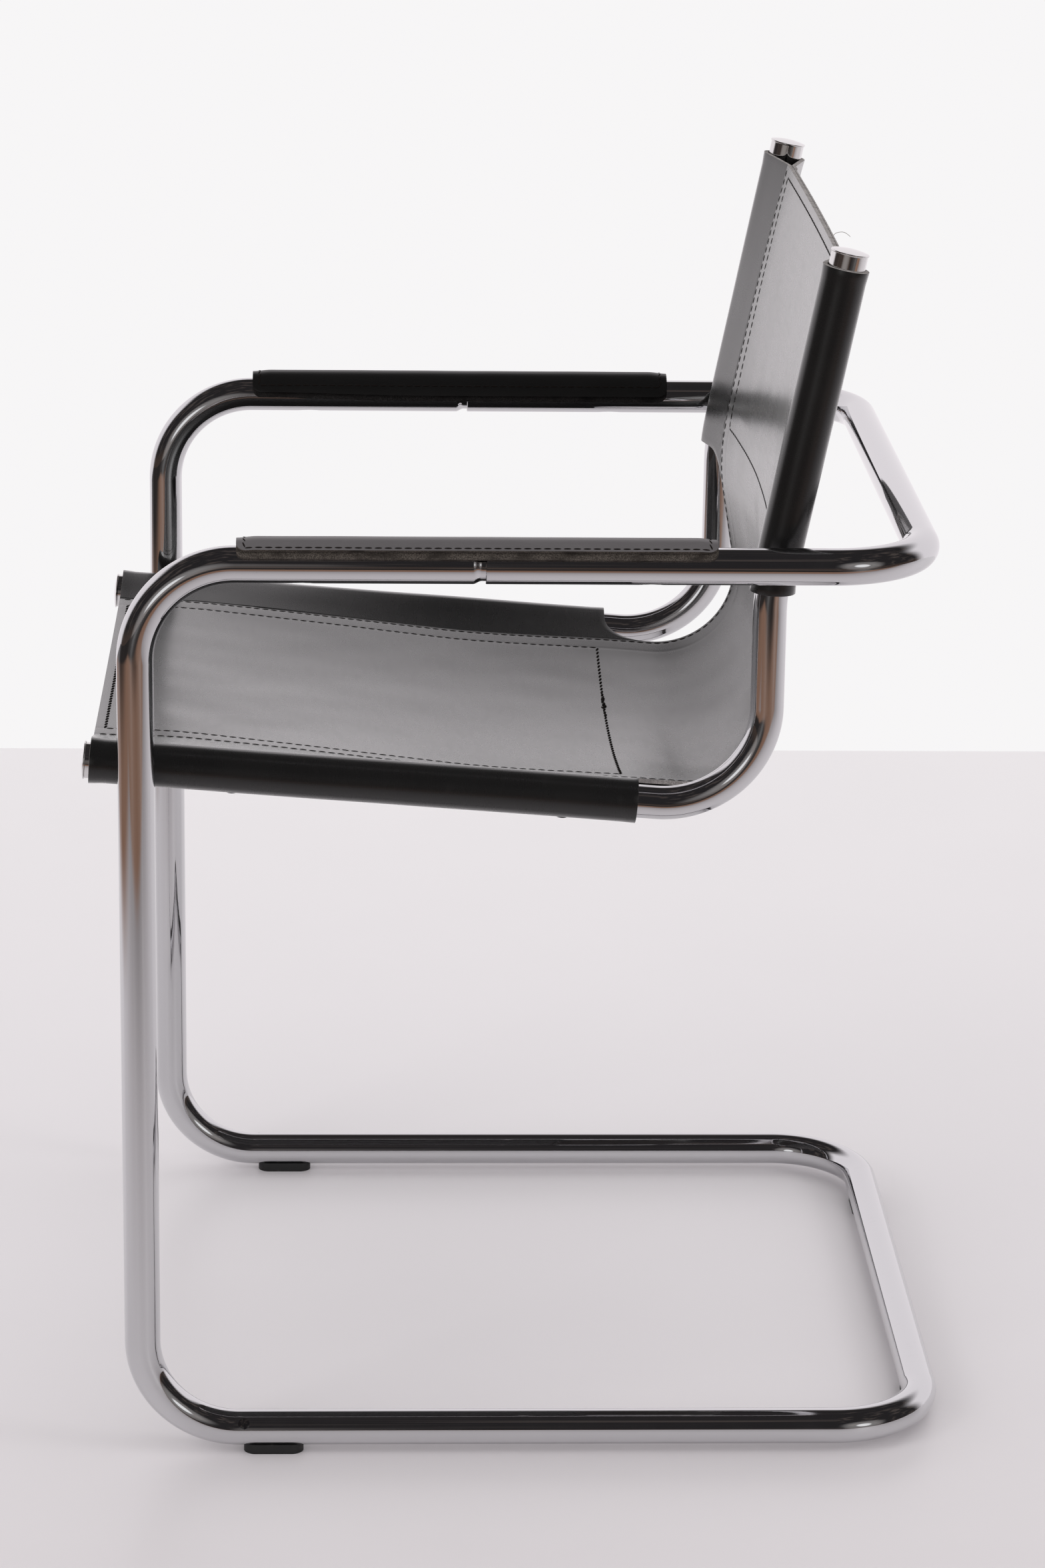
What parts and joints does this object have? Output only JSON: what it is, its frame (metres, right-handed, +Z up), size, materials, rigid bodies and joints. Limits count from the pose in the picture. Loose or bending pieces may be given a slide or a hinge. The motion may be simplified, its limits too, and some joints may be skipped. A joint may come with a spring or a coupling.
{
  "type": "cantilever armchair",
  "caption": "Cantilever armchair: a bent chromed tube frame carries a stitched black leather sling as seat and back, with stitched leather pads on the arms.",
  "frame": {"origin": "middle of the footprint on the floor, at the middle of the whole chair's depth and width", "axes": "+Z up, -Y the way the sitter faces, +X the sitter's left"},
  "size_m": [0.5522, 0.6071, 0.8521],
  "materials": {
    "frame_chrome": "polished chrome plate on bent steel tube",
    "side_chrome": "polished chrome plate on bent steel tube",
    "cap_chrome": "polished chrome plate on pressed caps",
    "screw_chrome": "chrome plated screw heads",
    "bolt_steel": "zinc plated steel",
    "strip_steel": "plain steel strip, hidden between the pad's plies",
    "sling_leather": "smooth black saddle leather, satin, raw cut edges",
    "lining_leather": "thin black leather, its smooth side out",
    "pad_leather": "smooth black saddle leather, stitched along its edges",
    "glide_plastic": "moulded black plastic",
    "plug_plastic": "grey plastic plug"
  },
  "bodies": {
    "root": {"front_frame_tube": "frame_chrome", "rear_arm_rail": "frame_chrome", "sling_leather": "sling_leather", "seat_lining": "lining_leather", "back_lining": "lining_leather", "frame_spacers": "frame_chrome", "frame_bolts": "bolt_steel", "frame_inserts": "bolt_steel", "side_tube_left": "side_chrome", "cap_seat_left": "cap_chrome", "cap_back_left": "cap_chrome", "arm_pad_top_left": "pad_leather", "arm_pad_base_left": "pad_leather", "arm_pad_strip_left": "strip_steel", "glide_front_left": "glide_plastic", "glide_rear_left": "glide_plastic", "side_tube_right": "side_chrome", "cap_seat_right": "cap_chrome", "cap_back_right": "cap_chrome", "arm_pad_top_right": "pad_leather", "arm_pad_base_right": "pad_leather", "arm_pad_strip_right": "strip_steel", "glide_front_right": "glide_plastic", "glide_rear_right": "glide_plastic", "runner_plugs": "plug_plastic", "pad_screws": "screw_chrome", "sleeve_screws": "screw_chrome"}
  },
  "joints": []
}
